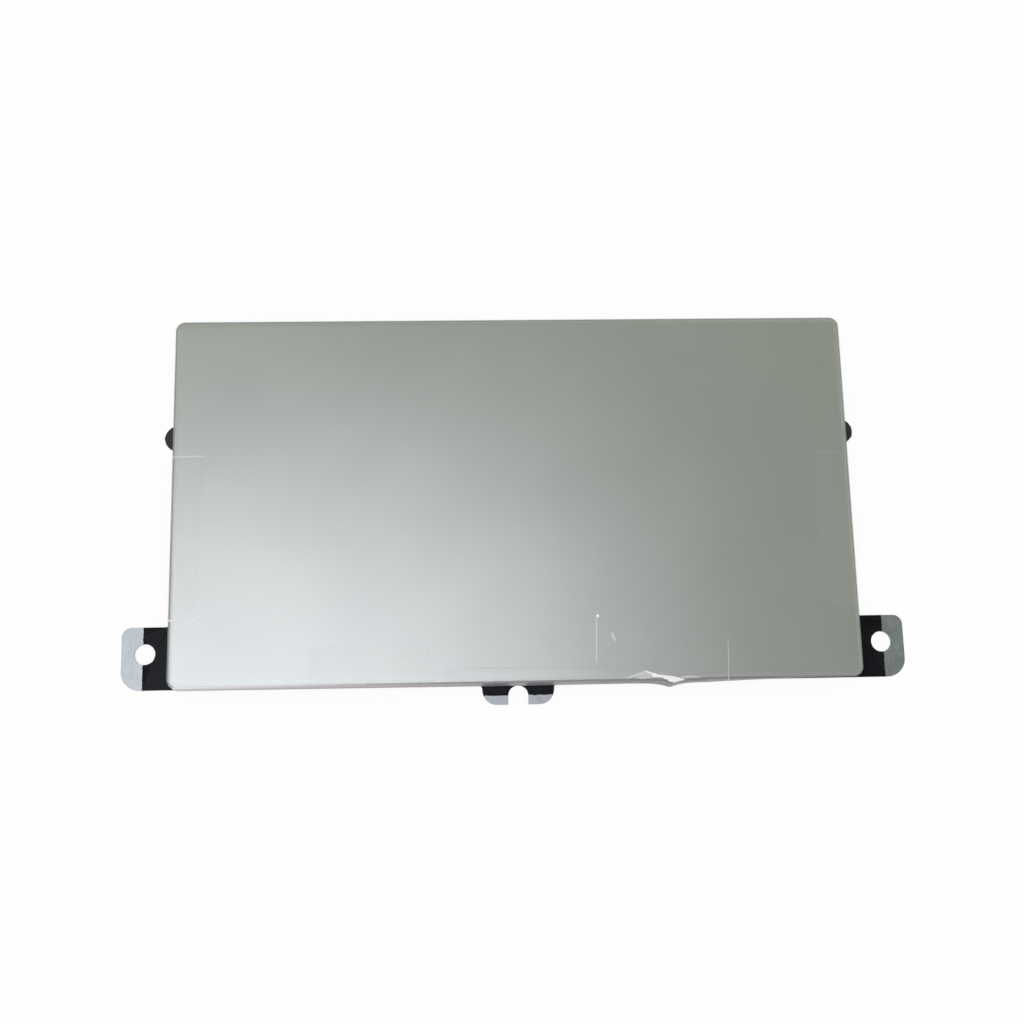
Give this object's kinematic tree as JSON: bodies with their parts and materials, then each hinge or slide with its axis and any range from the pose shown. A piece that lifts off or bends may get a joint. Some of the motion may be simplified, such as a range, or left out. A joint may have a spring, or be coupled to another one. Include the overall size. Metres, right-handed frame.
{
  "type": "trackpad",
  "caption": "Flat laptop trackpad module: satin silver touch plate under clear film, tilting on leaf springs over a stamped bracket with screw tabs, side ears and a slotted fork.",
  "frame": {"origin": "under the middle of the module's box, on the plane of the base plate's back", "axes": "+X along the width, +Y from the hinge edge with the screw tabs toward the free edge, +Z out of the touch surface"},
  "size_m": [0.1256, 0.0634, 0.0036],
  "materials": {
    "bare_steel": "galvanised sheet, stamped",
    "black_sheet": "satin black insulating film",
    "spring_steel": "rolled spring steel",
    "rivet_metal": "plain",
    "stop_rubber": "moulded rubber",
    "silver_glass": "etched satin glass over silver ink",
    "black_adhesive": "adhesive sheet",
    "circuit_board": "green solder mask",
    "black_resin": "moulded epoxy",
    "ceramic": "fired ceramic",
    "tinned_metal": "bright tin",
    "gold_plate": "thin gold plating",
    "ivory_plastic": "heat-proof resin",
    "black_plastic": "heat-proof resin",
    "brown_plastic": "moulded resin",
    "clear_film": "clear plastic film"
  },
  "bodies": {
    "bracket": {"base_plate": "bare_steel", "locating_fork": "bare_steel", "insulating_sheet": "black_sheet", "hinge_rivets": "rivet_metal", "hinge_spring_left": "spring_steel", "hinge_spring_right": "spring_steel", "rubber_stops": "stop_rubber"},
    "pad": {"cover_plate": "silver_glass", "cover_adhesive": "black_adhesive", "sensor_board": "circuit_board", "touch_controller": "black_resin", "controller_leads": "tinned_metal", "chip_capacitors": "ceramic", "chip_resistors": "black_resin", "chip_end_caps": "tinned_metal", "test_points": "gold_plate", "connector_housing": "ivory_plastic", "connector_contacts": "gold_plate", "connector_anchors": "tinned_metal", "switch_base": "black_resin", "switch_terminals": "tinned_metal", "switch_dome": "spring_steel", "switch_cover": "tinned_metal", "protective_film": "clear_film", "film_tapes": "clear_film"},
    "plunger": {"switch_plunger": "brown_plastic"},
    "latch": {"connector_latch": "black_plastic"}
  },
  "joints": [
    {"name": "pad_click", "type": "hinge", "parent": "bracket", "child": "pad", "pos_m": [0, -0.023, 0.00115], "axis": [-1, 0, 0], "range_deg": [0, 0.25], "stiffness_Nm_per_rad": 6.5, "springref_deg": -0.11, "deforming": ["hinge_spring_left", "hinge_spring_right"]},
    {"name": "switch_press", "type": "slide", "parent": "pad", "child": "plunger", "axis": [0, 0, 1], "range_m": [0, 0.0002], "deforming": ["switch_dome"]},
    {"name": "latch_flip", "type": "hinge", "parent": "pad", "child": "latch", "pos_m": [0.011, 0.00215, 0.00105], "axis": [1, 0, 0], "range_deg": [0, 90]}
  ],
  "couplings": [
    {"joint": "switch_press", "follows": "pad_click", "m_per_rad": 0.0456}
  ]
}
